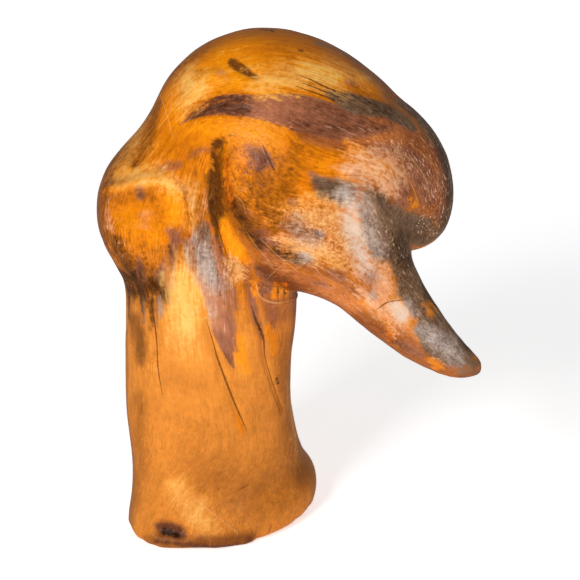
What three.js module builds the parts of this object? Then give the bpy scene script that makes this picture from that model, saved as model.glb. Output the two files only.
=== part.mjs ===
// Driftwood duck: one piece of a tree's root, sanded smooth, that stands on its sawn end.
// The root's stem is the neck, its burl the head, and the stub of a side root the bill.
// Millimetres, +Z up, the bill towards +X, the origin on the sawn foot, under the neck.

import * as THREE from "three";

const { clamp, degToRad, lerp, smoothstep } = THREE.MathUtils;

// Driving dimensions
const CROWN_Z = 245; // height of the crown over the foot
const NECK_WIDTH = 80.6; // across the neck at half its height, from nape to throat
const NECK_DEPTH = 69; // the same, from cheek to cheek
const FOOT_EDGE = 6.5; // rounding of the sawn foot's edge
const FACET = 5.25; // edge of the mesh's quads
const RELAX_ROUNDS = 12; // rounds of evening out the mesh over the surface
const BOUNDS = new THREE.Box3(new THREE.Vector3(-64, -64, -9), new THREE.Vector3(138, 70, 256));

// Blends: how wide the fillet is where one form grows out of another
const BURL_BLEND = 19; // crown into nape
const BROW_BLEND = 12; // crown into the forehead lobe
const THROAT_BLEND = 12; // burl into neck
const BILL_BLEND = 12; // bill into jaw
const FOLD_BLEND = 6; // the tight fold where jaw and bill leave the neck, low down
const CHEEK_BLEND = 26; // the same fold where it fades out over the cheek, high up
const FOLD_Z = [124, 208]; // heights between which it fades
const KNOT_BLEND = 5; // the knot under the jaw into neck and jaw

// The neck and foot as level sections: height, middle in X and Y, half width, half depth, skew
const NECK_X = -3.8;
const NECK_Y = 2;
const STEM_POWER = 2.2; // a section's squareness
const STEM = [
  { z: -12, x: 1.6, y: 5, a: 46.4, b: 46.5, skew: 0.3 },
  { z: 3, x: 2.2, y: 5, a: 47.2, b: 46.5, skew: 0.3 },
  { z: 14, x: 3.1, y: 5, a: 46.3, b: 43.8, skew: 0.3 },
  { z: 26, x: 0.4, y: 4, a: 42.4, b: 38.8, skew: 0.3 },
  { z: 40, x: -1.3, y: 3, a: 40.9, b: 36, skew: 0.2 },
  { z: 62, x: NECK_X, y: NECK_Y, a: NECK_WIDTH / 2, b: NECK_DEPTH / 2, skew: 0.1 },
  { z: 85, x: NECK_X, y: NECK_Y, a: NECK_WIDTH / 2, b: NECK_DEPTH / 2, skew: 0 },
  { z: 104, x: -2.4, y: 2.5, a: 41.2, b: 35.5, skew: 0 },
  { z: 125, x: -1.8, y: 3, a: 41, b: 37, skew: 0 },
  { z: 165, x: 0, y: 4, a: 38, b: 37, skew: 0 },
];

// The burl and its knots as rounded lumps: middle and half sizes, and where they aren't 0 and 2,
// the tilt about Y in degrees and the power, which makes a lump squarer.
const CROWN = { at: [24.5, 6, CROWN_Z - 54], half: [55, 44, 54] };
const FOREHEAD = { at: [57.5, 7, 193.6], half: [51, 40, 32], tilt: 40 };
const NAPE = { at: [-26, 2, 160], half: [29.5, 37, 35] };
const BROW = { at: [74, 8, 168], half: [34, 35, 32] };
const LOBE = { at: [93, 8, 172.5], half: [18.6, 28, 31.5], tilt: -13 };
const CHEEK = { at: [43, -14, 180], half: [43, 31, 38], power: 2.4 };
const JAW = { at: [45, -24, 168], half: [44, 32, 35.5], power: 2.3 };
const KNOT = { at: [27, -15, 127], half: [9.5, 14.5, 9.5] };

// The bill: a stub round a curved spine, given by its middles and half widths
const BILL = [
  { at: [50, -25, 163], r: 28 },
  { at: [71.5, -28, 139], r: 20.6 },
  { at: [85, -30, 122.4], r: 16.5 },
  { at: [99.4, -31, 107.6], r: 12.8 },
  { at: [110.8, -31, 98], r: 9.6 },
  { at: [119.4, -31, 93.4], r: 6.6 },
];
const BILL_STEPS = 40; // straight pieces that the spine is measured on

const vector = (a) => new THREE.Vector3(...a);

// Smooth minimum and maximum: the two surfaces run into each other over a width k.
function join(a, b, k) {
  const h = Math.max(k - Math.abs(a - b), 0) / k;
  return Math.min(a, b) - (h * h * k) / 4;
}
const cut = (a, b, k) => -join(-a, -b, k);

// How far a point lies outside a rounded form, from its offsets as shares of the form's half sizes.
// A power of 2 is an ellipse or an ellipsoid.
function outside(shares, half, power) {
  const reach = shares.reduce((sum, v) => sum + Math.abs(v) ** power, 0) ** (1 / power);
  if (reach === 0) return -Math.min(...half);
  const slope = shares.map((v, i) => Math.abs(v / reach) ** (power - 1) / half[i]);
  return (reach - 1) / Math.hypot(...slope);
}

// Each form is a function of a point that gives its distance outside the form's surface.
function lump({ at, half, tilt = 0, power = 2 }) {
  const middle = vector(at);
  const turn = new THREE.Quaternion().setFromAxisAngle(
    new THREE.Vector3(0, 1, 0),
    degToRad(-tilt),
  );
  return (p) => {
    const offset = p.clone().sub(middle).applyQuaternion(turn).divide(vector(half));
    return outside(offset.toArray(), half, power);
  };
}

function stub(stations) {
  const spine = new THREE.CatmullRomCurve3(stations.map(({ at }) => vector(at)));
  const radii = new THREE.CatmullRomCurve3(stations.map(({ r }) => new THREE.Vector3(r, 0, 0)));
  const balls = Array.from({ length: BILL_STEPS + 1 }, (_, i) => ({
    at: spine.getPoint(i / BILL_STEPS),
    r: radii.getPoint(i / BILL_STEPS).x,
  }));
  const near = new THREE.Vector3();
  return (p) => {
    let best = Infinity;
    for (let i = 1; i < balls.length; i++) {
      const [from, to] = [balls[i - 1], balls[i]];
      const along = new THREE.Line3(from.at, to.at).closestPointToPointParameter(p, true);
      near.lerpVectors(from.at, to.at, along);
      best = Math.min(best, near.distanceTo(p) - lerp(from.r, to.r, along));
    }
    return best;
  };
}

// A value read off the stem's sections at height z, on a smooth curve through them.
function section(z, key) {
  const last = STEM.length - 1;
  const at = (i) => STEM[clamp(i, 0, last)];
  let i = STEM.findIndex((s) => s.z > z) - 1;
  if (i < 0) i = z < STEM[0].z ? 0 : last - 1;
  const span = at(i + 1).z - at(i).z;
  const t = clamp((z - at(i).z) / span, 0, 1);
  const slope = (j) => (at(j + 1)[key] - at(j - 1)[key]) / (at(j + 1).z - at(j - 1).z);
  const [v0, v1] = [at(i)[key], at(i + 1)[key]];
  const [m0, m1] = [slope(i) * span, slope(i + 1) * span];
  return (
    v0 * (2 * t ** 3 - 3 * t ** 2 + 1) +
    m0 * (t ** 3 - 2 * t ** 2 + t) +
    v1 * (3 * t ** 2 - 2 * t ** 3) +
    m1 * (t ** 3 - t ** 2)
  );
}

function stem(p) {
  const [x, y, a, b, skew] = ["x", "y", "a", "b", "skew"].map((key) => section(p.z, key));
  const u = (p.x - x) / a;
  const w = ((p.y - y) / b - skew * u) / Math.sqrt(1 - skew * skew);
  return cut(outside([u, w], [a, b], STEM_POWER), p.z - STEM.at(-1).z, BURL_BLEND);
}

const crown = lump(CROWN);
const forehead = lump(FOREHEAD);
const nape = lump(NAPE);
const brow = lump(BROW);
const lobe = lump(LOBE);
const cheek = lump(CHEEK);
const jaw = lump(JAW);
const knot = lump(KNOT);
const bill = stub(BILL);

function duck(p) {
  const front = join(join(brow(p), lobe(p), BROW_BLEND), forehead(p), BROW_BLEND);
  const burl = join(join(crown(p), nape(p), BURL_BLEND), front, BROW_BLEND);
  const root = join(stem(p), burl, THROAT_BLEND);
  const face = join(join(jaw(p), cheek(p), BILL_BLEND), bill(p), BILL_BLEND);
  const fold = lerp(FOLD_BLEND, CHEEK_BLEND, smoothstep(p.z, ...FOLD_Z));
  const head = join(join(root, face, fold), knot(p), KNOT_BLEND);
  return cut(head, -p.z, FOOT_EDGE);
}

// The closed mesh where a field is zero: one vertex in each grid cell that the surface crosses,
// one quad round each grid edge that it crosses, then evened out along the surface.
function skin(field, box, cell) {
  const size = box.getSize(new THREE.Vector3()).divideScalar(cell).ceil().addScalar(1);
  const [nx, ny, nz] = size.toArray();
  const index = (i, j, k) => i + nx * (j + ny * k);
  const corner = (i, j, k) => new THREE.Vector3(i, j, k).multiplyScalar(cell).add(box.min);
  const value = new Float64Array(nx * ny * nz);
  for (let k = 0; k < nz; k++)
    for (let j = 0; j < ny; j++)
      for (let i = 0; i < nx; i++) value[index(i, j, k)] = field(corner(i, j, k));

  const points = [];
  const vertexOf = new Map();
  const steps = [
    [1, 0, 0],
    [0, 1, 0],
    [0, 0, 1],
  ];
  const cornersOfCell = [0, 1].flatMap((c) => [0, 1].flatMap((b) => [0, 1].map((a) => [a, b, c])));
  for (let k = 0; k < nz - 1; k++)
    for (let j = 0; j < ny - 1; j++)
      for (let i = 0; i < nx - 1; i++) {
        const sum = new THREE.Vector3();
        let crossings = 0;
        for (const [a, b, c] of cornersOfCell)
          for (const [da, db, dc] of steps) {
            if (a + da > 1 || b + db > 1 || c + dc > 1) continue;
            const from = value[index(i + a, j + b, k + c)];
            const to = value[index(i + a + da, j + b + db, k + c + dc)];
            if (from < 0 === to < 0) continue;
            const t = from / (from - to);
            sum.add(new THREE.Vector3(i + a + da * t, j + b + db * t, k + c + dc * t));
            crossings++;
          }
        if (!crossings) continue;
        vertexOf.set(index(i, j, k), points.length);
        points.push(sum.divideScalar(crossings).multiplyScalar(cell).add(box.min));
      }

  const quads = [];
  for (let k = 1; k < nz - 1; k++)
    for (let j = 1; j < ny - 1; j++)
      for (let i = 1; i < nx - 1; i++)
        steps.forEach(([di, dj, dk], axis) => {
          const from = value[index(i, j, k)];
          const to = value[index(i + di, j + dj, k + dk)];
          if (from < 0 === to < 0) return;
          const u = steps[(axis + 1) % 3];
          const w = steps[(axis + 2) % 3];
          const quad = [
            [0, 0],
            [1, 0],
            [1, 1],
            [0, 1],
          ].map(([s, t]) => {
            const back = u.map((step, n) => s * step + t * w[n]);
            return vertexOf.get(index(i - back[0], j - back[1], k - back[2]));
          });
          quads.push(from < 0 ? quad : quad.reverse());
        });

  settle(points, quads, field, cell);
  const triangles = quads.flatMap(([a, b, c, d]) =>
    points[a].distanceTo(points[c]) < points[b].distanceTo(points[d])
      ? [a, b, c, a, c, d]
      : [a, b, d, b, c, d],
  );
  const geometry = new THREE.BufferGeometry().setFromPoints(points);
  geometry.setIndex(triangles);
  geometry.computeVertexNormals();
  return geometry;
}

// Moves each point towards the middle of its neighbours, then back onto the surface.
function settle(points, quads, field, cell) {
  const neighbours = points.map(() => new Set());
  for (const quad of quads)
    quad.forEach((a, i) => {
      const b = quad[(i + 1) % 4];
      neighbours[a].add(b);
      neighbours[b].add(a);
    });
  const probe = cell / 100;
  const slope = (p, axis) => {
    const q = p.clone();
    q[axis] += probe;
    const ahead = field(q);
    q[axis] -= 2 * probe;
    return (ahead - field(q)) / (2 * probe);
  };
  for (let round = 0; round < RELAX_ROUNDS; round++) {
    const middles = neighbours.map((near) =>
      [...near].reduce((sum, i) => sum.add(points[i]), new THREE.Vector3()).divideScalar(near.size),
    );
    points.forEach((p, i) => {
      p.lerp(middles[i], 0.5);
      for (let step = 0; step < 2; step++) {
        const uphill = new THREE.Vector3(slope(p, "x"), slope(p, "y"), slope(p, "z"));
        const move = uphill.multiplyScalar(-field(p) / uphill.lengthSq());
        p.add(move.clampLength(0, cell / 2));
      }
    });
  }
}

const wood = new THREE.MeshStandardMaterial({ color: 0xc67a22, roughness: 0.45, metalness: 0 });
const body = new THREE.Mesh(skin(duck, BOUNDS, FACET), wood);
body.name = "driftwood_duck";

const group = new THREE.Group();
group.add(body);
export default group;
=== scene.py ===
import math

import bmesh
import bpy
import numpy as np
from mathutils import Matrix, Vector, noise
from mathutils.bvhtree import BVHTree


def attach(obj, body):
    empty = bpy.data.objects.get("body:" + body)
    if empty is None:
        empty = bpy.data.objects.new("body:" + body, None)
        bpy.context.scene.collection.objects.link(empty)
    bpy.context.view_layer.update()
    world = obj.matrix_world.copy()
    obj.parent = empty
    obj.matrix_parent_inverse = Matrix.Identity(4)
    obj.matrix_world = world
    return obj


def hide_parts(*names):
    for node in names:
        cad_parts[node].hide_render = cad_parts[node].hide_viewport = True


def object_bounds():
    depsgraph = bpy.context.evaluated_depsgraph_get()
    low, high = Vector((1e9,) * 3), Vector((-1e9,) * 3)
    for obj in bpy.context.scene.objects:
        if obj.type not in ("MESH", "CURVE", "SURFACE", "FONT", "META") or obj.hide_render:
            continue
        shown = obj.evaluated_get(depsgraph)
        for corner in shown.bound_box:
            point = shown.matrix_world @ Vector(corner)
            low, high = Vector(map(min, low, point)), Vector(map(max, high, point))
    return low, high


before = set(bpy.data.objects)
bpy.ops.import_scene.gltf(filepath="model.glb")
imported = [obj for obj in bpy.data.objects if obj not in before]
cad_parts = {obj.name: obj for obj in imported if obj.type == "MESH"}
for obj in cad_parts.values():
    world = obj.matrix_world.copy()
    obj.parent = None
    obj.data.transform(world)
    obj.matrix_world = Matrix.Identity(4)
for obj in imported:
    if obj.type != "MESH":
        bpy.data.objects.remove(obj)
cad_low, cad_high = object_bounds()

# The view. The photograph looks at the wood from in front and 20 degrees above level, through
# a long lens. Marks on the front are given further down in its pixels, so this comes first.
PHOTO_SIDE = 580
LENS, SENSOR = 100.0, 36.0
LOOK_AT = Vector((0.036, 0.0, 0.120))
EYE_DISTANCE = 0.7733
EYE_HEIGHT = math.radians(20)

forward = Vector((0, math.cos(EYE_HEIGHT), -math.sin(EYE_HEIGHT)))
eye = LOOK_AT - forward * EYE_DISTANCE
camera = bpy.data.objects.new("camera", bpy.data.cameras.new("camera"))
camera.data.lens, camera.data.sensor_width = LENS, SENSOR
camera.data.clip_start, camera.data.clip_end = 0.05, 20
camera.location = eye
camera.rotation_euler = forward.to_track_quat("-Z", "Y").to_euler()
bpy.context.collection.objects.link(camera)
bpy.context.scene.camera = camera
bpy.context.scene.view_settings.view_transform = "Standard"

# The root. One solid piece of tree root, a stem that swells into a burl with the stub of a
# side root, sawn off flat below and rounded by hand with rasp and sandpaper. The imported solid
# is refined twice here and keeps its form, and the hand work is carved into the finer mesh.
MM = 0.001
WELD = 0.01 * MM
REFINE = 2
SHARE_EDGE = math.radians(60)

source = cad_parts["driftwood_duck"]
cage = bmesh.new()
cage.from_mesh(source.data)
bmesh.ops.remove_doubles(cage, verts=cage.verts, dist=WELD)
bmesh.ops.join_triangles(cage, faces=cage.faces, cmp_seam=False, cmp_sharp=False, cmp_uvs=False,
                         cmp_vcols=False, cmp_materials=False, angle_face_threshold=SHARE_EDGE,
                         angle_shape_threshold=SHARE_EDGE)
for face in cage.faces:
    face.smooth = True
mesh = bpy.data.meshes.new("root_wood")
cage.to_mesh(mesh)
cage.free()
root_wood = bpy.data.objects.new("root_wood", mesh)
bpy.context.collection.objects.link(root_wood)
refine = root_wood.modifiers.new("refine", "SUBSURF")
refine.levels = refine.render_levels = REFINE


def settle(piece):
    """Takes the piece's modifiers into its own plain mesh."""
    seen = piece.evaluated_get(bpy.context.evaluated_depsgraph_get())
    plain = bpy.data.meshes.new_from_object(seen, depsgraph=bpy.context.evaluated_depsgraph_get())
    piece.modifiers.clear()
    piece.data = plain


settle(root_wood)


def surface():
    """Points and normals of the wood's mesh, in metres, as arrays, and its skin for rays."""
    points = np.empty(len(root_wood.data.vertices) * 3)
    root_wood.data.vertices.foreach_get("co", points)
    normals = np.empty(len(root_wood.data.vertices) * 3)
    root_wood.data.vertex_normals.foreach_get("vector", normals)
    points = points.reshape(-1, 3)
    faces = [tuple(face.vertices) for face in root_wood.data.polygons]
    return points, normals.reshape(-1, 3), BVHTree.FromPolygons(points.tolist(), faces)


points, normals, skin = surface()
PIXEL = EYE_DISTANCE * SENSOR / LENS / PHOTO_SIDE
FAR = 0.4


def sight(side, across, up):
    """Where a line of sight starts and which way it goes: photo takes pixels, the rest mm."""
    if side == "photo":
        middle = PHOTO_SIDE / 2
        right = Vector((1, 0, 0))
        above = right.cross(forward)
        aim = LOOK_AT + right * (across - middle) * PIXEL + above * (middle - up) * PIXEL
        return eye, (aim - eye).normalized()
    start = {"back": (across * MM, FAR, up * MM), "left": (-FAR, across * MM, up * MM),
             "right": (FAR, across * MM, up * MM), "top": (across * MM, up * MM, FAR)}[side]
    way = {"back": (0, -1, 0), "left": (1, 0, 0), "right": (-1, 0, 0), "top": (0, 0, -1)}[side]
    return Vector(start), Vector(way)


def on_wood(side, across, up):
    """The point of the wood that a side sees there, or the nearest one just off its outline."""
    start, way = sight(side, across, up)
    place, normal, _, _ = skin.ray_cast(start, way)
    if place is None:
        place, normal, _, _ = skin.find_nearest(start + way * (LOOK_AT - start).dot(way))
    return place, normal


class Stroke:
    """A line drawn over the wood: points across, up and half width, as one side sees them.
    Depth counts less than width, so a line keeps its width where the wood turns away."""

    STEP = 1.5
    DEPTH_SHARE = 0.4

    def __init__(self, marks, side="photo"):
        marks = np.array(marks, float)
        unit = PIXEL if side == "photo" else MM
        stations = np.concatenate([[0], np.cumsum(np.hypot(*np.diff(marks[:, :2], axis=0).T))])
        steps = np.linspace(0, stations[-1], max(2, int(stations[-1] * unit / MM / self.STEP)))
        eased = [self.curve(stations, marks[:, k], steps) for k in (0, 1)]
        widths = np.interp(steps, stations, marks[:, 2]) * unit
        found = []
        for across, up, width in zip(*eased, widths):
            place, normal = on_wood(side, across, up)
            found.append((*place, *normal, width))
        found = np.array(found)
        self.at, self.normal, self.width = found[:, :3], found[:, 3:6], found[:, 6]
        self.along = np.gradient(self.at, axis=0) if len(found) > 1 else np.array([[0, 0, 1.0]])
        self.along /= np.linalg.norm(self.along, axis=1)[:, None] + 1e-9
        self.way = np.array(sight(side, *marks[0, :2])[1])

    @staticmethod
    def curve(stations, values, steps):
        """A smooth line through the values, by Hermite pieces with average slopes."""
        if len(values) < 3:
            return np.interp(steps, stations, values)
        slopes = np.gradient(values, stations)
        k = np.clip(np.searchsorted(stations, steps, side="right") - 1, 0, len(stations) - 2)
        span = stations[k + 1] - stations[k]
        t = (steps - stations[k]) / span
        return ((2 * t**3 - 3 * t**2 + 1) * values[k] + (t**3 - 2 * t**2 + t) * span * slopes[k]
                + (3 * t**2 - 2 * t**3) * values[k + 1] + (t**3 - t**2) * span * slopes[k + 1])

    def near(self, margin):
        """Which of the wood's points lie within a margin of the stroke, their distance from
        its middle line, and the nearest station."""
        reach = (self.width.max() + margin) * (1 + np.abs(self.way) * (1 / self.DEPTH_SHARE - 1))
        inside = ((points > self.at.min(0) - reach) & (points < self.at.max(0) + reach)).all(1)
        which = np.flatnonzero(inside)
        offset = points[which, None] - self.at[None]
        depth = (offset @ self.way) * math.sqrt(1 - self.DEPTH_SHARE**2)
        away = np.sqrt(np.maximum((offset**2).sum(2) - depth**2, 0))
        nearest = (away - self.width).argmin(1)
        return which, away[np.arange(len(which)), nearest], nearest


def carve(depth, marks, side="photo", soft=2.0):
    """Cuts a groove, or raises a ridge where depth, in mm, is negative. The higher soft is, the
    more slowly its edges run out."""
    line = Stroke(marks, side)
    which, away, nearest = line.near(0)
    share = np.clip(1 - (away / line.width[nearest])**2, 0, 1)**soft
    points[which] -= normals[which] * (share * depth * MM)[:, None]


def flatten(drop, across, up, reach):
    """Rasps a small flat on the front, drop mm below the surface at its middle."""
    place, normal = on_wood("photo", across, up)
    offset = points - np.array(place)
    height = offset @ np.array(normal)
    away = np.linalg.norm(offset, axis=1)
    proud = np.maximum(height + drop * MM, 0) * np.clip(2 - 2 * away / (reach * MM), 0, 1)
    points[:] -= np.array(normal) * proud[:, None]


# Hand work on the root: the fold beside the cheek, the flutes and drying cracks of the neck,
# the knot under the jaw, the bark pit, the hollow at the foot, and the flats that the rasp left
# on the bill. All of it is cut into the wood itself.
NECK_STREAK = [(205, 230, 10), (207, 250, 14), (211, 272, 16), (216, 293, 16), (221, 315, 15),
               (227, 340, 14), (231, 362, 10)]
MIDDLE_CRACK = [(207, 320, 3), (212, 340, 4), (217, 356, 5), (226, 381, 5), (239, 413, 4.5),
                (246, 428, 3)]
LEFT_CRACK = [(151, 300, 4), (154, 320, 4.5), (156, 338, 4.5), (158, 366, 4), (162, 392, 3)]
RIGHT_CRACK = [(248, 285, 5), (253, 312, 5.5), (262, 335, 5), (265, 356, 4.5), (271, 378, 4),
               (282, 410, 3)]
BARK_PIT = [(231, 63, 4.5), (239, 68, 5), (247, 73, 5), (257, 77, 4)]
FOOT_HOLLOW = [(160, 529, 13), (172, 530, 16), (184, 534, 12)]

carve(2.6, [(218, 146, 8), (211, 165, 16), (210, 190, 22), (213, 214, 20), (226, 240, 14),
            (250, 258, 10)], soft=1.3)
carve(1.6, [(217, 142, 5), (214, 165, 8), (213, 190, 9), (214, 214, 8), (222, 234, 6)])
carve(2.4, [(424, 234, 9), (410, 226, 18), (394, 208, 18), (384, 196, 10)])
carve(-1.3, [(350, 200, 8), (357, 222, 12), (362, 246, 12), (376, 274, 11), (400, 310, 10),
             (424, 334, 9)])
carve(0.9, [(318, 184, 10), (332, 192, 14), (348, 197, 10)])
carve(-1.2, [(264, 284, 10), (278, 288, 14), (292, 288, 10)])
carve(-1.0, [(190, 98, 14), (200, 84, 16), (216, 76, 12)])
carve(0.8, [(132, 163, 6), (140, 160, 7)])
carve(0.9, [(150, 191, 6), (160, 190, 7)])
carve(-1.2, [(196, 540, 8), (228, 544, 10), (250, 540, 8)])
carve(1.4, NECK_STREAK)
carve(1.2, MIDDLE_CRACK, soft=1.2)
carve(0.9, LEFT_CRACK, soft=1.2)
carve(1.1, RIGHT_CRACK, soft=1.2)
carve(0.9, BARK_PIT, soft=1.0)
carve(3.2, FOOT_HOLLOW)
carve(-1.8, [(106, 190, 10), (126, 187, 12), (150, 181, 13), (168, 184, 12), (181, 195, 9)])
carve(3.0, [(118, 214, 18), (145, 210, 24), (172, 218, 24), (192, 236, 16)])
carve(-0.8, [(257, 288, 4), (262, 298, 5), (275, 303, 5), (290, 302, 5), (297, 295, 4)])
for across in (263, 270, 277, 284, 290):
    carve(0.6, [(across, 276, 3), (across + 1, 288, 3.5), (across, 298, 2.5)], soft=1.2)
carve(1.7, [(-30, 196, 6), (-23, 176, 9), (-15, 156, 9), (-9, 136, 7), (-5, 112, 5)], side="back")
carve(1.5, [(60, 222, 6), (84, 200, 10), (98, 178, 9)], side="back")
carve(-1.3, [(14, 206, 8), (40, 198, 12), (66, 178, 10)], side="back")
carve(1.3, [(22, 132, 4), (20, 110, 6), (17, 86, 6), (18, 60, 4)], side="back")
carve(1.1, [(2, 66, 4), (5, 62, 5), (8, 60, 4)], side="back", soft=1.2)
carve(-0.8, [(-5, 62, 3), (4, 73, 3), (14, 63, 3), (5, 52, 3), (-5, 62, 3)], side="back")
carve(1.2, [(-8, 152, 5), (-6, 128, 6), (-5, 104, 5)], side="left")
carve(1.0, [(14, 140, 5), (16, 112, 6), (13, 84, 5)], side="left")
carve(1.0, [(6, 120, 4), (8, 96, 5), (5, 70, 4)], side="right")
for drop, across, up, reach in ((0.5, 400, 312, 9), (0.5, 378, 282, 10), (0.4, 425, 330, 9),
                                (0.4, 352, 262, 12), (0.4, 352, 300, 10), (0.4, 448, 352, 8)):
    flatten(drop, across, up, reach)

# Growth of the root. Its fibres run up the stem and bend round the fork under the jaw, over
# the crown and down the brow, and the side root that makes the bill has its own, along it.
FORK = (40 * MM, 115 * MM)
BEND = 60 * MM
BILL_ROOT, BILL_TIP = Vector((0.050, -0.025, 0.163)), Vector((0.119, -0.031, 0.093))
BILL_START, BILL_FULL = -12 * MM, 22 * MM
BILL_GIRTH = (1.25 * 34 * MM, 0.9 * 34 * MM)
BILL_BEHIND, BILL_BEFORE = -10 * MM, 15 * MM


def eased(value, low, high):
    """A smooth step of an array, from 0 at low to 1 at high."""
    t = np.clip((value - low) / (high - low), 0, 1)
    return t * t * (3 - 2 * t)


def growth(places):
    """Lengths along, across and through the fibres, in mm, and the fibres' direction."""
    x, y, z = places.T
    left, above = FORK[0] - x, z - FORK[1]
    turn = np.where(above > 0, np.arctan2(above, left), 0)
    radius = np.where(above > 0, np.hypot(left, above), left)
    bent = np.stack([np.where(above > 0, BEND * turn, above), radius, y], 1)
    bent_way = np.stack([np.where(above > 0, np.sin(turn), 0), np.zeros_like(x),
                         np.where(above > 0, np.cos(turn), 1)], 1)
    axis = np.array((BILL_TIP - BILL_ROOT).normalized())
    flank = np.cross(axis, (0, 1, 0))
    offset = places - np.array(BILL_ROOT)
    start_left, start_above = FORK[0] - BILL_ROOT.x, BILL_ROOT.z - FORK[1]
    start = (BEND * math.atan2(start_above, start_left), math.hypot(start_left, start_above))
    straight = np.stack([offset @ axis + start[0], start[1] - offset @ flank, y], 1)
    girth = np.linalg.norm(offset - (offset @ axis)[:, None] * axis, axis=1)
    share = eased(offset @ axis, BILL_START, BILL_FULL) * eased(girth, *BILL_GIRTH)
    share = (share * eased(-y, BILL_BEHIND, BILL_BEFORE))[:, None]
    way = bent_way * (1 - share) + axis * share
    way /= np.linalg.norm(way, axis=1)[:, None]
    return (bent * (1 - share) + straight * share) / MM, way


grain, grain_way = growth(points)

# Where fibres are seen in the photograph, they are combed along these lines, in its pixels.
COMBED = [
    [(150, 170), (182, 124), (219, 105), (259, 107), (310, 119), (360, 132), (418, 148),
     (436, 195), (430, 238)],
    [(104, 190), (120, 155), (150, 115), (190, 70), (250, 50), (320, 62), (380, 95)],
    [(246, 430), (226, 382), (207, 322), (205, 250), (202, 200), (196, 160)],
    [(282, 412), (265, 356), (253, 312), (245, 280), (238, 250)],
    [(224, 150), (223, 185), (229, 214), (248, 240), (280, 257), (320, 276), (370, 310),
     (430, 352), (468, 371)],
    [(246, 148), (245, 178), (254, 206), (276, 228), (310, 241), (345, 266), (400, 320),
     (452, 360)],
    [(288, 150), (284, 180), (298, 205), (330, 222), (364, 258), (405, 310)],
    [(305, 142), (348, 158), (384, 176), (394, 212), (402, 262), (430, 318), (468, 362)],
    [(302, 285), (345, 310), (400, 347), (448, 371)],
    [(270, 308), (268, 290), (270, 272)], [(290, 306), (289, 290), (290, 274)],
    [(160, 300), (140, 262), (126, 230), (116, 205)], [(190, 300), (182, 250), (172, 205)],
    [(190, 540), (204, 512), (235, 492), (280, 482), (312, 468)],
    [(150, 520), (165, 500), (190, 486), (215, 470)],
]
COMB_REACH = 14 * MM
COMB_PULL = 4.0
LAYING_STEPS = 300

for marks in COMBED:
    line = Stroke([(*mark, 2) for mark in marks])
    which, away, nearest = line.near(2 * COMB_REACH)
    pull = COMB_PULL * np.exp(-(away / COMB_REACH)**2)
    grain_way[which] += line.along[nearest] * pull[:, None]
grain_way /= np.linalg.norm(grain_way, axis=1)[:, None]
ends = np.empty(len(root_wood.data.edges) * 2, int)
root_wood.data.edges.foreach_get("vertices", ends)
ends = ends.reshape(-1, 2).T


def laid_out(slopes, start):
    """Lengths over the wood that grow along the slopes, by least squares over its edges."""
    def gathered(steps):
        return np.bincount(ends[1], steps, len(points)) - np.bincount(ends[0], steps, len(points))

    lengths = start.copy()
    wished = ((slopes[ends[0]] + slopes[ends[1]]) / 2 * (points[ends[1]] - points[ends[0]])).sum(1)
    error = gathered(wished / MM - lengths[ends[1]] + lengths[ends[0]])
    way, size = error.copy(), error @ error
    for _ in range(LAYING_STEPS):
        pulled = gathered(way[ends[1]] - way[ends[0]])
        stride = size / (way @ pulled)
        lengths += stride * way
        error -= stride * pulled
        size, before = error @ error, size
        way = error + way * (size / before)
    return lengths


grain[:, 0] = laid_out(grain_way, grain[:, 0])
grain[:, 1] = laid_out(np.cross(grain_way, (0, 1, 0)), grain[:, 1])


def swell(places, size, seed):
    """Soft noise from -1 to 1 with lumps of that size, in the units of the places."""
    shift = Vector((seed * 17.3, seed * 5.1, seed * 9.7))
    return np.array([noise.noise(Vector(p) / size + shift) for p in places])


LUMPS = ((28, 0.45), (11, 0.16))
RIB_LENGTH, RIB_WIDTH, RIB_HEIGHT, RIB_SEED = 9, 3.4, 0.12, 3
for size, height in LUMPS:
    points += normals * (swell(points / MM, size, size) * height * MM)[:, None]
ribs = grain * np.array([1 / RIB_LENGTH, 1, 1])
points += normals * (swell(ribs, RIB_WIDTH, RIB_SEED) * RIB_HEIGHT * MM)[:, None]
points[:] = np.clip(points, np.array(cad_low), np.array(cad_high))
root_wood.data.vertices.foreach_set("co", points.ravel())
root_wood.data.update()
points, normals, skin = surface()

# Stains and patina, with painted shade and highlights. Tannin, iron and soil have dyed the wood
# in patches, and sanding has worn them through in others; some kinds also hold painted shade in
# creases and along edges, or painted highlights on ridges. Each kind is one attribute of the mesh,
# about 1 well inside its strokes and -2 well outside, so the finish can draw the edges finer than
# the mesh.
def put(name, values):
    """Keeps a number or a vector for each of the wood's points as an attribute."""
    kind, part = ("FLOAT", "value") if values.ndim == 1 else ("FLOAT_VECTOR", "vector")
    root_wood.data.attributes.new(name, kind, "POINT").data.foreach_set(part, values.ravel())


class Stain:
    """One kind of discolouring, or of painted shade or highlight. A stroke is how soft its edge is
    in mm, how full it is, up to 1, and its marks. A stroke that rubs the stain out again has no
    fullness."""

    def __init__(self, name):
        self.name, self.depth = name, np.full(len(points), -2.0)

    def draw(self, *strokes, side="photo"):
        for soft, full, *marks in strokes:
            line = Stroke(marks, side)
            which, away, nearest = line.near(2 * soft * MM)
            value = np.clip((line.width[nearest] - away) / (soft * MM), -2, 2 * full - 1)
            self.depth[which] = np.maximum(self.depth[which], value)

    def rub(self, *strokes, side="photo"):
        for soft, *marks in strokes:
            line = Stroke(marks, side)
            which, away, nearest = line.near(soft * MM)
            value = np.clip((away - line.width[nearest]) / (soft * MM), -2, 1)
            self.depth[which] = np.minimum(self.depth[which], value)


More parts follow.
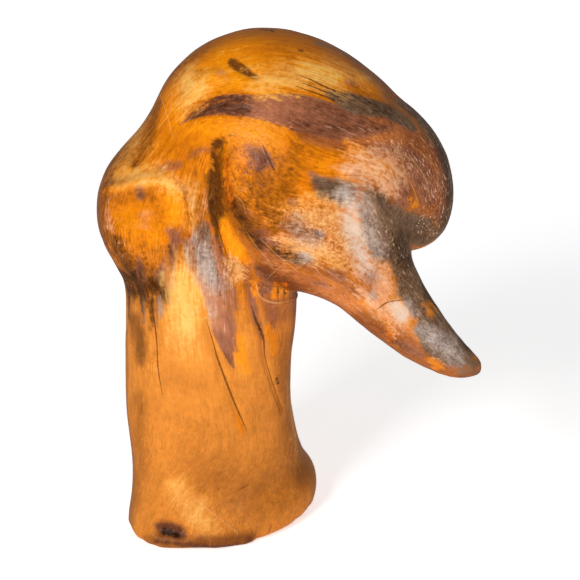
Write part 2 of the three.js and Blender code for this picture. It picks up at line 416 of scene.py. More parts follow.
# Red-brown, from the bark side of the root: the brow, the jaw and its rim, the throat.
rust = Stain("rust")
rust.draw(
    (3, 1, (298, 118, 14), (312, 122, 18), (335, 128, 20), (365, 132, 22), (395, 138, 20),
     (418, 150, 20), (430, 175, 22), (430, 205, 20), (415, 220, 14)),
    (3, 0.9, (404, 160, 8), (404, 185, 12), (398, 205, 12), (384, 200, 6)),
    (3, 1, (262, 240, 5), (268, 258, 9), (285, 276, 12), (310, 288, 14), (335, 300, 16)),
    (4, 0.85, (335, 300, 16), (355, 316, 13), (375, 330, 12), (392, 338, 10)),
    (3, 1, (398, 330, 6), (408, 342, 8), (425, 354, 6)),
    (2.5, 1, (440, 370, 8), (458, 371, 9), (476, 368, 10)),
    (3, 0.8, (404, 352, 6), (420, 362, 7), (436, 371, 6)), (4, 0.6, (262, 232, 5), (272, 240, 7)),
    (5, 0.8, (298, 264, 7), (318, 270, 9), (340, 280, 9), (356, 296, 7)),
    (2, 1, (161, 169, 4), (170, 167, 5.5), (179, 165, 4)),
    (1.5, 1, (188, 158, 2), (199, 151, 3.4), (212, 150, 2.5)),
    (3, 0.7, (199, 204, 2), (200, 218, 4)), (3, 0.8, (171, 230, 3), (175, 238, 5), (174, 248, 4)),
    (3, 0.5, (166, 262, 3), (168, 280, 3)), (4, 0.4, (225, 258, 4), (229, 280, 5), (233, 300, 4)),
    (2.5, 1, (246, 264, 5), (249, 285, 5), (255, 312, 3.5), (262, 337, 2.5)),
    (3, 0.9, (262, 286, 7), (268, 300, 8), (272, 318, 7), (273, 326, 3)),
    (4, 0.5, (284, 304, 7), (286, 316, 5)), (4, 0.4, (268, 342, 6), (270, 352, 5)),
    (6, 0.25, (172, 374, 6), (186, 378, 9), (200, 384, 6)),
    (4, 0.8, (396, 195, 5), (408, 190, 7), (412, 205, 6)),
    (3, 0.6, (200, 541, 5), (225, 543, 6), (250, 539, 4)),
    (8, 0.15, (290, 160, 14), (292, 185, 14)),
    (2.5, 1, (248, 148, 3), (256, 153, 6), (263, 161, 6), (257, 170, 2)),
    (5, 0.5, (234, 206, 4), (246, 226, 8), (256, 246, 9), (262, 262, 6)),
    (3, 0.7, (350, 172, 3), (372, 184, 4), (392, 196, 5)))

# Purple-brown with a hard edge: the stripe over the brow, and the streak down the neck.
umber = Stain("umber")
umber.draw(
    (1.5, 1, (180, 124.5, 1), (188, 119, 2), (195, 114.8, 3.3), (205, 110, 5.7),
     (220, 105.4, 9.3), (240, 105.4, 10.4), (260, 107.3, 11.3), (280, 109.5, 14.8),
     (292, 111.5, 17), (302, 113, 17), (316, 114, 15), (332, 115, 11), (350, 117, 7),
     (372, 122, 1)),
    (8, 0.6, (292, 116, 7), (316, 125, 10), (340, 129, 10), (364, 129, 7), (392, 128, 2)),
    (2.5, 0.9, (212, 302, 5), (218, 315, 8), (223, 330, 10), (228, 344, 8)),
    (2, 1, (229, 336, 5), (235, 347, 4), (240, 354, 1)),
    (2, 1, (223, 342, 5), (229, 356, 4), (234, 370, 1)))

# Purple-brown with a soft edge: the lobe, the eye patch's rim, the cheek's foot, knots.
plum = Stain("plum")
plum.draw(
    (3, 1, (408, 154, 8), (416, 166, 12), (424, 180, 12), (430, 198, 8)),
    (3, 0.8, (399, 183, 5), (404, 192, 7), (403, 202, 6)),
    (3, 0.8, (378, 146, 3), (392, 150, 4), (406, 154, 4)),
    (4, 0.8, (440, 180, 6), (446, 200, 6), (440, 216, 6)),
    (2.5, 1, (312, 174, 3), (320, 186, 8), (336, 194, 11), (350, 198, 9), (362, 200, 5)),
    (3, 0.85, (350, 184, 4), (360, 192, 7), (372, 200, 6), (384, 204, 4)),
    (2, 1, (262, 150, 2), (268, 160, 4), (272, 165, 2)),
    (2.5, 0.8, (290, 202, 3), (297, 203, 5), (303, 198, 3)),
    (3.5, 0.7, (283, 226, 4), (298, 230, 8), (308, 236, 7), (322, 244, 5)),
    (4, 0.8, (256, 236, 5), (268, 246, 5)),
    (2.5, 1, (204, 226, 7), (203, 242, 9), (205, 262, 12), (211, 280, 12), (217, 297, 13),
     (221, 315, 12), (225, 332, 11), (229, 345, 8)),
    (3, 0.7, (214, 238, 3), (222, 258, 5), (230, 282, 5), (236, 308, 3)),
    (2.5, 1, (170, 232, 3), (175, 240, 5), (172, 252, 5), (172, 268, 4), (172, 286, 2)),
    (2.5, 0.8, (184, 240, 3), (188, 256, 4), (192, 270, 2)),
    (2.5, 1, (272, 243, 4), (284, 251, 8), (296, 258, 7), (306, 263, 3)),
    (2, 1, (258, 270, 4), (264, 276, 8), (268, 284, 7), (262, 292, 4)),
    (2.5, 1, (330, 272, 4), (340, 276, 5.5)), (2.5, 1, (316, 283, 3), (326, 285, 3.5)),
    (2.5, 0.9, (395, 341, 3), (408, 348, 5), (420, 356, 4)),
    (5, 0.3, (126, 268, 6), (145, 266, 11), (165, 264, 12), (186, 256, 10)),
    (4, 0.4, (180, 235, 6), (186, 250, 8)), (4, 0.35, (194, 190, 6), (200, 208, 7), (202, 220, 8)),
    (3, 1, (134, 276, 6), (140, 279, 8)), (3, 0.9, (158, 274, 4), (161, 284, 6)),
    (2, 1, (156, 525, 3), (166, 529, 8), (176, 531, 8), (183, 534, 4)),
    (2, 0.8, (155, 541, 2.5), (190, 545, 3), (225, 546.5, 3), (250, 541, 2.5)),
    (2, 0.8, (346, 82, 3), (352, 84, 3.5)), (3, 0.5, (220, 74, 3), (226, 79, 4)),
    (3, 0.8, (139, 190, 4), (141, 195, 4)), (4, 0.5, (410, 300, 6), (418, 310, 6)),
    (2.5, 0.8, (440, 366, 2), (458, 364, 3), (474, 366, 3)),
    (2, 1, (249, 284, 1.5), (252, 300, 2.4), (257, 320, 3), (262, 336, 2)),
    (1.5, 1, (269, 304, 1.2), (272, 316, 2), (274, 328, 1)),
    (1.5, 1, (275, 304, 1), (279, 316, 1.8), (281, 328, 1)),
    (1, 1, (277, 280, 0.8), (278, 290, 1.6), (278, 300, 1)),
    (1, 1, (284, 281, 0.8), (284.5, 290, 1.4), (284, 301, 1)),
    (2, 1, (138, 258, 1), (141, 270, 5), (142, 284, 5)),
    (2, 1, (163, 258, 1), (162, 272, 5), (160, 286, 4)))

# Dark warm brown: the fold beside the cheek, the bark pit, small spots, the stripe's head; in the
# fold and along the cheek's foot it is also painted shade.
soot = Stain("soot")
soot.draw(
    (3, 1, (222, 141, 3.5), (217, 144, 5), (214, 152, 4), (213, 165, 4.5), (212.5, 180, 5.5),
     (212, 196, 6), (213, 212, 5.5), (216, 226, 3)),
    # Painted shade: a soft dark band over the fold, and along the cheek's foot.
    (9, 0.8, (216, 152, 6), (216, 170, 9), (217, 190, 11), (218, 210, 9)),
    (2, 1, (213, 219, 1.5), (217, 235, 2.2), (222, 254, 1.5)),
    (5, 0.55, (232, 204, 3), (240, 218, 4), (250, 234, 4), (260, 246, 3)),
    (1.5, 1, (231.5, 62.5, 3.8), (238, 66, 4.6), (244, 70.5, 4), (250, 74, 3.8), (256, 77, 3)),
    (3, 1, (131, 160, 2), (134, 165, 3)), (1.2, 1, (230, 135, 1.6), (234, 133.5, 2.2)),
    (1.5, 1, (300, 50, 1.4), (302, 50.5, 1.4)), (2, 1, (262, 29.5, 2), (272, 30.5, 2.5)),
    (2, 1, (196, 71, 1.5), (201, 70, 1.5)),
    (1.5, 0.8, (183, 187, 1), (185, 196, 2), (187, 206, 1)),
    (1.2, 0.7, (277, 379, 1.5), (278, 383, 1.5)),
    (1.5, 0.9, (169, 246, 2), (171, 254, 2.4), (174, 259, 1)),
    (1.5, 0.7, (256, 318, 0.5), (259, 328, 1.4), (262, 337, 0.8)),
    (2, 1, (165, 531, 4), (176, 534, 3.5)), (1.2, 0.7, (318, 283, 1), (330, 285, 1.3)),
    (1.5, 0.7, (289, 170, 1.5), (291, 169, 1.5)),
    (8, 0.7, (127, 288, 8), (140, 290, 10), (154, 290, 8)),
    (5, 0.85, (147, 278, 3), (156, 287, 8), (165, 298, 5)))
for across, top, foot, half in ((129, 272, 318, 3.5), (135, 272, 300, 3.5), (141, 268, 312, 4),
                                (147, 278, 306, 4), (152, 282, 330, 3.5)):
    soot.draw((3.5, 1, (across, top, 1), (across, (top + foot) / 2 - 4, half), (across, foot, 1)))

# Grey-black, where iron or burning went deep: brow patch, eye, bill, collar; also painted shade
# along the crown's upper right edge, the lobe's right edge and the crevice under the brow.
coal = Stain("coal")
coal.draw(
    (2, 1, (327, 93, 2), (336, 97, 5), (350, 102, 9), (366, 106, 9), (384, 110, 8),
     (400, 118, 7), (414, 128, 4)),
    # Painted shade along the crown's upper right edge.
    (4, 0.5, (318, 44, 2.5), (330, 49, 4), (345, 57, 4), (360, 67, 3.5), (376, 82, 3),
     (392, 101, 3), (410, 116, 4), (430, 132, 4)),
    (2.5, 1, (318, 182, 4), (328, 189, 10), (340, 194, 11), (348, 197, 8)),
    (3.5, 1, (314, 180, 1), (322, 185, 5), (334, 185, 5), (348, 186, 4), (358, 190, 2)),
    (4, 1, (368, 190, 4), (376, 198, 9), (384, 212, 14), (392, 230, 20), (400, 250, 16),
     (405, 270, 12), (411, 287, 13)),
    (5, 1, (366, 198, 5), (369, 220, 10), (373, 240, 11), (382, 256, 9)),
    (3.5, 1, (400, 214, 6), (416, 226, 12), (430, 228, 9), (420, 240, 7)),
    (2, 1, (410, 287, 12), (421, 300, 15), (432, 316, 16), (442, 331, 16), (450, 345, 15),
     (458, 356, 10), (466, 362, 4)), (2, 1, (424, 330, 8), (434, 345, 12), (446, 357, 9)),
    (4, 0.6, (200, 226, 3), (204, 232, 6), (203, 246, 7), (208, 264, 6), (213, 278, 5)),
    (2.5, 1, (278, 249, 3), (287, 253, 5), (298, 258, 5.5), (308, 259, 4)),
    (2, 0.8, (313, 232, 2), (318, 234.5, 4)), (2.5, 0.6, (369, 291, 3), (374, 296, 4)),
    # Painted shade along the lobe's right edge, and in the crevice under the brow.
    (4, 0.75, (400, 103, 5), (418, 118, 6), (434, 134, 8), (446, 160, 9), (451, 185, 9),
     (451, 210, 10), (442, 232, 10)), (3, 1, (408, 228, 12), (424, 236, 12), (436, 234, 8)),
    (2, 1, (440, 318, 10), (455, 335, 13), (466, 350, 11), (474, 360, 7)),
    (2, 1, (414, 262, 8), (418, 280, 8), (430, 298, 8)), (2, 0.7, (171, 533, 3), (177, 534, 3)))
for across, top, foot, half in ((133, 280, 304, 3), (143, 280, 300, 3), (157, 280, 326, 3),
                                (161, 272, 318, 4), (166, 278, 310, 3)):
    coal.draw((2.5, 1, (across, top, 1), (across, (top + foot) / 2, half), (across, foot, 1)))
coal.rub(
    (3, (429, 305, 2), (431, 312, 3)), (3, (474, 352, 2), (476, 358, 2)))

# Bright orange and gold, where the wood shows clean through the stain.
gold = Stain("gold")
gold.draw(
    (3, 1, (190, 130, 5), (222, 124, 8), (248, 128, 9), (272, 136, 10), (286, 138, 8)),
    (6, 0.6, (200, 92, 8), (225, 86, 7), (260, 86, 6), (300, 86, 5)),
    (4, 1, (168, 195, 6), (175, 206, 8), (176, 220, 5)), (3, 0.7, (206, 155, 4), (205, 166, 5)),
    (3, 0.6, (226, 158, 3), (228, 180, 3.5), (229, 204, 2)),
    (3, 0.7, (239, 157, 4), (243, 164, 6), (243, 172, 4)),
    (2, 1, (224, 222, 3), (229, 235, 6), (236, 249, 7), (243, 259, 6)),
    (3, 1, (304, 180, 4), (305, 192, 7), (303, 202, 4)),
    (4, 0.55, (376, 264, 3), (382, 272, 5.5), (383, 288, 6.5), (384, 297, 4)),
    (3, 0.4, (426, 303, 2), (431, 308, 4), (431, 315, 2)),
    (1.5, 1, (411, 199, 2.5), (415, 205, 3.5)), (3, 0.7, (432, 361, 3.5), (438, 366, 5)),
    (3, 0.5, (388, 318, 4), (392, 328, 5), (390, 337, 3)),
    (1.5, 1, (400, 321, 2.5), (416, 320, 2.5)),
    (2, 1, (357, 77, 3.5), (362, 82, 4.5), (370, 89, 3)),
    (3, 0.8, (268, 331, 4), (274, 340, 5), (274, 352, 3)),
    (2, 1, (232, 408, 1.5), (237, 420, 3.2), (243, 433, 2)),
    (3, 0.8, (240, 338, 4), (243, 356, 5.5), (246, 372, 4)),
    (4, 0.6, (290, 214, 5), (312, 209, 5), (330, 208, 5)), (3, 0.6, (279, 236, 4), (286, 243, 4)),
    (2.5, 1, (322, 168, 5), (334, 163, 8), (344, 165, 8)),
    (1.5, 0.8, (275, 284, 2), (276, 296, 2.5)), (1.5, 0.8, (285, 284, 2), (286, 296, 2.5)),
    (2, 0.7, (254, 282, 3), (256, 292, 3.5)), (4, 0.6, (345, 150, 5), (360, 153, 6)))

# Pale peach: painted highlight below the brow, on the bill's ridge and facet and on the cheek,
# and spots worn pale by sanding on the nape's ridge and the neck.
pale = Stain("pale")
pale.draw(
    (3, 1, (378, 264, 4), (383, 274, 7), (384, 290, 8), (384, 297, 5)),
    (6, 0.8, (350, 164, 7), (364, 166, 11), (380, 173, 13), (391, 182, 9)),
    (5, 0.75, (372, 158, 8), (390, 164, 12), (398, 174, 8)))
pale.rub(
    (2, (344, 150, 0.8), (374, 158, 1.4), (402, 180, 0.8)),
    (2, (352, 172, 0.8), (378, 184, 1.6), (396, 200, 0.8)),
    (2, (330, 158, 0.8), (350, 160, 1.2), (372, 172, 0.8)))
# Painted highlight along the bill's ridge, and painted sheen over the cheek.
pale.draw(
    (6, 0.75, (352, 208, 6), (350, 222, 8), (353, 238, 8), (359, 254, 8), (366, 268, 7),
     (372, 280, 5)),
    (5, 0.85, (284, 238, 7), (296, 224, 8), (312, 218, 11), (330, 222, 13), (340, 238, 14),
     (350, 256, 11), (364, 274, 9), (374, 288, 7)),
    (5, 0.75, (288, 246, 6), (310, 248, 9), (336, 252, 10)))
pale.rub(
    (5, (284, 226, 3), (298, 230, 5), (308, 236, 4)),
    (4, (274, 246, 4), (288, 253, 6), (302, 259, 4)))
# Painted highlight on the bill's facet.
pale.draw(
    (1.2, 1, (396, 305, 5), (400, 312, 8), (404, 319, 4)),
    (5, 0.8, (366, 292, 6), (378, 304, 8), (390, 314, 8), (398, 324, 6)),
    (3, 1, (232, 262, 3), (238, 270, 6), (236, 279, 3)), (3, 0.8, (360, 292, 4), (368, 298, 5)),
    (2, 0.4, (226, 262, 2), (228, 280, 2)), (2, 0.5, (191, 190, 1.5), (194, 206, 1.5)),
    (2, 0.6, (205, 190, 1.2), (206, 212, 1.2)), (3, 0.6, (107, 212, 2), (109, 226, 3)))

# Straw yellow, where the varnish lies on the palest sapwood, and painted highlights on the nape's
# ridge, the crown and the foot's swell.
straw = Stain("straw")
straw.draw(
    (7, 0.7, (186, 72, 5), (190, 86, 9), (186, 100, 7)),
    (4, 0.8, (200, 76, 2), (203, 86, 4), (198, 96, 3)),
    (7, 0.75, (262, 82, 6), (290, 78, 10), (312, 74, 11), (332, 80, 8)),
    (5, 0.7, (326, 62, 4), (345, 70, 5), (360, 80, 4)),
    # Painted highlight along the nape's ridge.
    (5, 0.8, (116, 180, 7), (142, 176, 8), (162, 178, 7), (180, 190, 4)),
    (5, 0.7, (118, 160, 4), (124, 168, 5)),
    (8, 0.75, (184, 264, 7), (182, 285, 13), (184, 310, 15), (182, 335, 10)),
    (7, 0.45, (174, 488, 4), (188, 502, 6), (200, 518, 6), (210, 530, 3)),
    (7, 0.65, (292, 216, 8), (315, 214, 10), (334, 226, 10), (344, 244, 9)),
    (6, 0.6, (290, 244, 6), (318, 250, 8), (344, 258, 8)),
    (4, 0.7, (232, 264, 4), (238, 271, 6), (236, 279, 3)),
    (5, 0.6, (190, 186, 3), (194, 206, 4), (192, 222, 3)))
straw.rub(
    (4, (274, 246, 4), (288, 253, 6), (302, 259, 4)),
    (3, (157, 270, 3), (162, 286, 5), (165, 306, 3)))

# Lilac-grey bloom on the dark stains, with a painted sheen and highlight on it: eye patch,
# streak, bill.
bloom = Stain("bloom")
bloom.draw(
    (3, 1, (337, 194, 3), (343, 194, 7), (348, 198, 5)),
    (6, 0.72, (197, 244, 5), (200, 256, 8), (207, 270, 9), (214, 284, 7)),
    (6, 0.55, (360, 208, 5), (365, 222, 7), (370, 238, 7), (376, 252, 5)),
    (4, 1, (420, 330, 6), (432, 336, 9), (446, 346, 11), (456, 357, 7)),
    (3, 0.6, (408, 306, 4), (412, 314, 4)), (2, 1, (300, 256, 3), (306, 258, 4.5), (311, 260, 2)),
    (2, 1, (315, 233, 3), (320, 235, 4)), (2, 0.7, (372, 294, 3), (374, 297, 3)),
    (4, 0.4, (292, 226, 3), (302, 232, 5)), (5, 0.5, (294, 220, 4), (300, 234, 5), (312, 240, 4)),
    (5, 0.72, (350, 208, 5), (351, 226, 7), (356, 244, 7), (364, 262, 6), (372, 278, 4)),
    (3, 0.95, (395, 305, 4), (402, 315, 6)), (3, 0.3, (204, 276, 2), (207, 296, 3), (212, 312, 2)),
    (1.2, 0.8, (160, 296, 1), (160.5, 308, 1.6), (160, 316, 0.8)))

# The same stains on the sides that the photograph doesn't show, plainer, in millimetres.
rust.draw(
    (6, 1, (112, 200, 8), (106, 182, 13), (101, 164, 12), (92, 150, 8)),
    (5, 0.8, (64, 226, 6), (84, 214, 9), (100, 198, 9)),
    (4, 0.8, (-38, 192, 4), (-31, 176, 7), (-27, 160, 5)),
    (5, 0.6, (-34, 12, 4), (0, 9, 4), (34, 12, 5)),
    (4, 0.8, (36, 146, 6), (33, 128, 6), (34, 112, 3)), side="back")
rust.draw(
    (4, 0.8, (14, 196, 4), (17, 180, 7), (12, 164, 4)), side="left")
rust.draw(
    (6, 0.9, (0, 218, 8), (8, 202, 14), (12, 182, 15), (8, 162, 12)),
    (4, 0.8, (-14, 128, 5), (-6, 112, 5), (-8, 96, 2)), side="right")
rust.draw(
    (6, 0.8, (66, 2, 6), (84, 8, 9), (100, 8, 7)), side="top")
umber.draw(
    (1.5, 1, (-6, 222, 0.8), (8, 227, 2.5), (26, 229, 5), (46, 225, 6), (62, 217, 5),
     (78, 206, 1.5)),
    (1.8, 1, (-15, 128, 1), (-12, 112, 4), (-9, 96, 4), (-6, 80, 0.6)), side="back")
plum.draw(
    (2.5, 1, (-20, 168, 3), (-18, 148, 5), (-15, 126, 6), (-11, 106, 5), (-8, 90, 2)),
    (4, 1, (84, 192, 5), (94, 178, 7), (95, 164, 5)),
    (2.5, 0.9, (30, 178, 3), (38, 171, 5), (47, 172, 3)), side="back")
plum.draw(
    (3, 0.9, (-2, 172, 3), (0, 158, 5), (-1, 144, 4)), side="left")
plum.draw(
    (4, 0.9, (14, 206, 4), (20, 190, 7), (18, 172, 5)),
    (3, 0.8, (8, 132, 4), (12, 112, 4), (10, 92, 1.5)), side="right")
soot.draw(
    (3, 1, (4, 202, 0.8), (-1, 188, 2.4), (-4, 172, 3), (-4, 156, 1.5)),
    (1.2, 1, (40, 208, 1), (46, 205, 1.6)), (1.5, 1, (3, 65, 1.5), (6, 61, 2.5)), side="back")
soot.draw(
    (6, 0.7, (-28, 131, 4), (-6, 134, 5), (14, 131, 4), (28, 132, 4)), side="left")
soot.draw(
    (1.5, 1, (-16, 14, 1), (-8, 16, 2), (0, 15, 1)), side="top")
coal.draw(
    (4, 1, (66, 146, 6), (82, 130, 8), (98, 114, 8), (110, 102, 8), (121, 91, 5)),
    (6, 0.75, (94, 216, 3), (107, 205, 5), (115, 188, 5), (116, 170, 4),
     (110, 156, 3)), side="back")
gold.draw(
    (5, 0.8, (-24, 206, 5), (-4, 214, 7), (20, 218, 5)), side="back")
pale.draw(
    (6, 0.75, (54, 170, 5), (70, 160, 6), (82, 150, 4)), side="back")
pale.draw(
    (5, 0.7, (28, 196, 3), (30, 180, 5), (26, 166, 3)), side="right")
straw.draw(
    (8, 0.75, (-10, 198, 7), (10, 208, 9), (34, 210, 8)),
    (9, 0.75, (9, 138, 1), (8, 104, 7), (4, 60, 1)),
    (7, 0.7, (58, 190, 6), (74, 178, 7), (84, 162, 5)), side="back")
straw.draw(
    (7, 0.75, (-12, 190, 5), (4, 196, 7), (16, 206, 6)),
    (9, 0.7, (-1, 116, 1), (2, 84, 6), (0, 40, 1)), side="left")
straw.draw(
    (9, 0.7, (3, 104, 1), (4, 68, 6), (0, 30, 1)), side="right")
straw.draw(
    (9, 0.7, (-4, 24, 6), (22, 28, 9), (48, 28, 6)), side="top")
bloom.draw(
    (5, 1, (94, 120, 3), (108, 105, 4)), (4, 0.8, (-19, 156, 2), (-16, 138, 3.5)), side="back")
for side, way, places in (("back", -1, (-38, -34, -29, -25)),
                          ("left", 1, (-24, -14, -5, 6, 15, 24))):
    for turn, across in enumerate(places):
        stain, drop = soot if turn % 2 else coal, turn % 3
        stain.draw((2, 1, (across, 142 - 3 * drop, 0.6), (across, 130, 2.4),
                    (across + way, 112 + 4 * drop, 0.5)), side=side)

for stain in (rust, umber, plum, soot, coal, gold, pale, straw, bloom):
    put(stain.name, stain.depth)


# Washes: the tone of the wood and its stains, 0 for dark and 1 for bright, which carries painted
# shade in the hollows and along the edges and painted highlights on the ridges, besides the wood's
# own lighter and darker patches; how plainly the fibres show, how speckled and scuffed the wood
# is, and how many pale flecks it has.
class Wash:
    """A soft quantity. A stroke is its amount, which fades to nothing at the stroke's width,
    and its marks."""

    def __init__(self, name, level):
        self.name, self.amount = name, np.full(len(points), level)

    def lay(self, *strokes, side="photo"):
        for amount, *marks in strokes:
            line = Stroke(marks if len(marks) > 1 else marks * 2, side)
            which, away, nearest = line.near(0)
            self.amount[which] += amount * np.clip(1 - (away / line.width[nearest])**2, 0, 1)**2


tone = Wash("tone", 0.5)
# Painted highlights: the nape's ridge and the band above it, the crown's right, the peach below
# the brow, the bill's ridge and facet, the foot's swell. Painted shade: under the nape's ridge,
# the hollow above it, the fold, under the jaw, the left and upper left edges, the neck's right
# side, the lobe's right side, the foot's hollow and lower edge.
tone.lay(
    (0.25, (110, 190, 5), (124, 187, 5), (140, 183, 5), (152, 182, 6), (168, 184, 7),
     (181, 195, 6)), (-0.1, (118, 200, 9), (140, 196, 10), (158, 198, 9)),
    (0.18, (118, 170, 14), (140, 172, 16), (168, 176, 14)),
    (0.08, (210, 60, 40), (260, 70, 44), (330, 80, 30)), (0.15, (190, 82, 12), (200, 90, 12)),
    (0.15, (204, 270, 16), (212, 300, 16), (220, 320, 14)),
    (0.24, (190, 100, 50), (225, 80, 60), (270, 90, 40)),
    (0.16, (215, 125, 30), (250, 128, 30), (275, 138, 26)),
    (0.15, (185, 290, 40), (190, 330, 50), (190, 380, 45)),
    (-0.08, (246, 175, 20), (250, 195, 26), (262, 215, 24)),
    (-0.2, (236, 200, 12), (246, 220, 18), (258, 240, 16)),
    (-0.2, (226, 160, 8), (228, 185, 10), (230, 205, 9)),
    (-0.22, (118, 240, 10), (123, 256, 12), (130, 274, 12)), (-0.14, (140, 193, 6), (142, 195, 6)),
    (-0.12, (152, 284, 10), (164, 290, 10)), (0.25, (224, 222, 8), (230, 236, 10), (238, 252, 10)),
    (-0.18, (262, 160, 18), (270, 190, 26), (275, 220, 20)),
    (-0.12, (290, 150, 24), (292, 185, 20)),
    (-0.25, (120, 150, 22), (108, 178, 14), (101, 205, 16), (112, 245, 18)),
    (-0.25, (160, 104, 9), (152, 126, 11), (143, 148, 11), (134, 164, 8)),
    (0.14, (115, 225, 22), (140, 222, 26), (156, 232, 20)), (0.2, (170, 200, 16), (176, 214, 16)),
    (-0.2, (128, 262, 16), (142, 268, 16), (152, 272, 14)),
    (-0.22, (150, 110, 18), (172, 72, 18), (205, 50, 14)),
    (0.1, (232, 38, 14), (262, 34, 16), (300, 40, 16), (345, 62, 14), (375, 88, 14)),
    (-0.16, (215, 480, 50), (250, 495, 60), (285, 480, 50)),
    (-0.2, (284, 340, 14), (284, 380, 18), (290, 430, 22), (302, 470, 26)),
    (-0.35, (134, 320, 12), (140, 345, 14), (140, 360, 10)),
    (-0.15, (138, 400, 14), (140, 440, 16), (140, 500, 18)),
    (-0.3, (262, 268, 12), (284, 284, 14), (300, 292, 12)),
    (-0.3, (150, 540, 12), (200, 545, 14), (250, 538, 12)),
    (-0.05, (130, 292, 14), (150, 292, 16)), (-0.3, (165, 528, 14), (178, 532, 12)),
    (0.15, (330, 288, 16), (350, 304, 16)), (0.5, (396, 306, 11), (402, 316, 11)),
    (-0.2, (280, 252, 10), (292, 257, 10)), (0.2, (172, 486, 14), (188, 500, 20), (204, 520, 18)),
    (0.22, (182, 275, 16), (184, 300, 22), (186, 325, 18)), (0.15, (355, 160, 16), (380, 170, 18)),
    (0.35, (304, 66, 14), (320, 72, 18), (340, 78, 14)),
    (-0.14, (290, 222, 16), (315, 222, 20), (335, 236, 20), (350, 258, 18), (368, 280, 14)),
    (0.22, (352, 208, 16), (353, 238, 18), (366, 266, 14)),
    (-0.12, (340, 98, 12), (360, 104, 14), (390, 112, 12)),
    (-0.15, (440, 150, 14), (450, 185, 14), (446, 220, 16)),
    (-0.22, (415, 262, 8), (424, 285, 9), (446, 318, 10), (466, 345, 10)),
    (-0.06, (384, 232, 14), (396, 262, 14), (408, 290, 12)), (0.1, (318, 186, 12), (330, 190, 14)),
    (-0.15, (172, 378, 16), (196, 384, 20)), (0.2, (244, 340, 12), (244, 370, 12)),
    (-0.42, (196, 114, 16), (212, 107, 24), (228, 105, 26), (238, 105, 24)),
    (0.02, (256, 106, 14), (275, 108, 18), (298, 108, 14)),
    (-0.06, (300, 128, 16), (320, 132, 16), (345, 124, 14)),
    (0.25, (378, 138, 12), (396, 136, 14)), (0.06, (406, 160, 12), (416, 178, 14), (428, 192, 12)),
    (0.12, (378, 215, 16), (386, 240, 16)), (0.08, (300, 116, 12), (318, 120, 12)),
    (0.16, (366, 78, 10), (380, 90, 10)), (0.22, (339, 192, 8), (347, 196, 8)),
    (0.1, (202, 246, 10), (208, 258, 10)), (-0.14, (254, 154, 7), (261, 160, 8), (258, 168, 5)),
    (-0.05, (306, 124, 14), (345, 126, 16), (388, 128, 14)),
    (-0.14, (318, 184, 10), (332, 187, 12), (350, 192, 9)),
    (-0.22, (276, 250, 8), (290, 254, 9), (302, 258, 7)),
    (0.25, (348, 182, 12), (362, 196, 14), (375, 206, 10)), (0.2, (200, 290, 12), (214, 305, 14)),
    (0.14, (212, 318, 14), (222, 330, 12)), (0.15, (364, 222, 14), (372, 240, 14)),
    (0.08, (434, 340, 14), (446, 352, 12)), (-0.2, (400, 240, 14), (408, 262, 12)),
    (0.08, (320, 286, 14), (350, 306, 14), (372, 300, 12)),
    (-0.12, (356, 318, 10), (384, 334, 12), (404, 350, 10)),
    (-0.25, (300, 296, 5), (330, 312, 6), (360, 328, 6), (395, 350, 6)),
    (-0.1, (250, 152, 12), (258, 162, 12)))
tone.lay(
    (0.14, (-10, 200, 26), (16, 208, 32), (44, 204, 30)), (-0.14, (84, 182, 24), (70, 154, 20)),
    (-0.2, (-48, 160, 16), (-42, 130, 14), (-40, 96, 14)),
    (0.14, (6, 120, 20), (4, 84, 24), (2, 50, 20)), (-0.16, (-20, 30, 20), (20, 24, 22)),
    (-0.18, (30, 130, 16), (32, 96, 14)), side="back")
tone.lay(
    (-0.16, (-6, 150, 20), (0, 128, 22)), (0.12, (0, 100, 20), (2, 64, 22)), side="left")
tone.lay(
    (-0.12, (6, 210, 24), (8, 178, 26)), side="right")
fibrous = Wash("fibrous", 0.15)
fibrous.lay(
    (0.7, (120, 240, 30), (150, 260, 36), (185, 250, 34), (195, 215, 26)),
    (0.7, (205, 190, 22), (208, 240, 26), (225, 290, 30), (245, 300, 24)),
    (0.8, (262, 285, 22), (280, 290, 22), (275, 320, 20)),
    (0.8, (136, 300, 18), (145, 330, 20), (150, 370, 14)),
    (0.6, (385, 125, 26), (420, 150, 30), (436, 190, 26)),
    (0.7, (310, 80, 20), (330, 86, 22), (365, 95, 22)),
    (0.5, (180, 505, 26), (210, 525, 30), (245, 535, 22)),
    (0.5, (105, 180, 20), (120, 150, 22), (145, 110, 20), (175, 75, 20)),
    (0.6, (232, 175, 18), (240, 200, 20), (262, 235, 20)), (0.5, (352, 184, 14), (375, 196, 14)))
fibrous.lay(
    (0.6, (-24, 180, 18), (-16, 150, 20), (-10, 118, 18)),
    (0.5, (40, 216, 20), (80, 200, 22), (96, 172, 18)),
    (0.5, (34, 140, 14), (32, 112, 14)), side="back")
fibrous.lay(
    (0.6, (-10, 150, 20), (10, 138, 22), (0, 112, 16)), side="left")
fibrous.lay(
    (0.5, (0, 210, 20), (10, 180, 20)), side="right")
speckled = Wash("speckled", 0.1)
speckled.lay(
    (0.8, (285, 215, 18), (315, 222, 26), (340, 245, 22)), (0.4, (300, 250, 20), (340, 262, 20)),
    (0.9, (400, 150, 16), (425, 165, 24), (438, 195, 22), (430, 225, 20)),
    (0.55, (375, 215, 22), (392, 240, 26), (402, 275, 22), (416, 305, 18)),
    (0.45, (430, 335, 22), (450, 350, 20)), (0.25, (355, 160, 18), (380, 180, 20)),
    (0.5, (335, 195, 16)), (0.5, (208, 255, 16), (212, 285, 16)),
    (0.5, (385, 320, 16), (400, 340, 14)))
speckled.lay(
    (0.6, (60, 150, 12), (90, 122, 14), (112, 100, 12)),
    (0.5, (108, 200, 12), (114, 176, 14)), side="back")
flecked = Wash("flecked", 0.0)
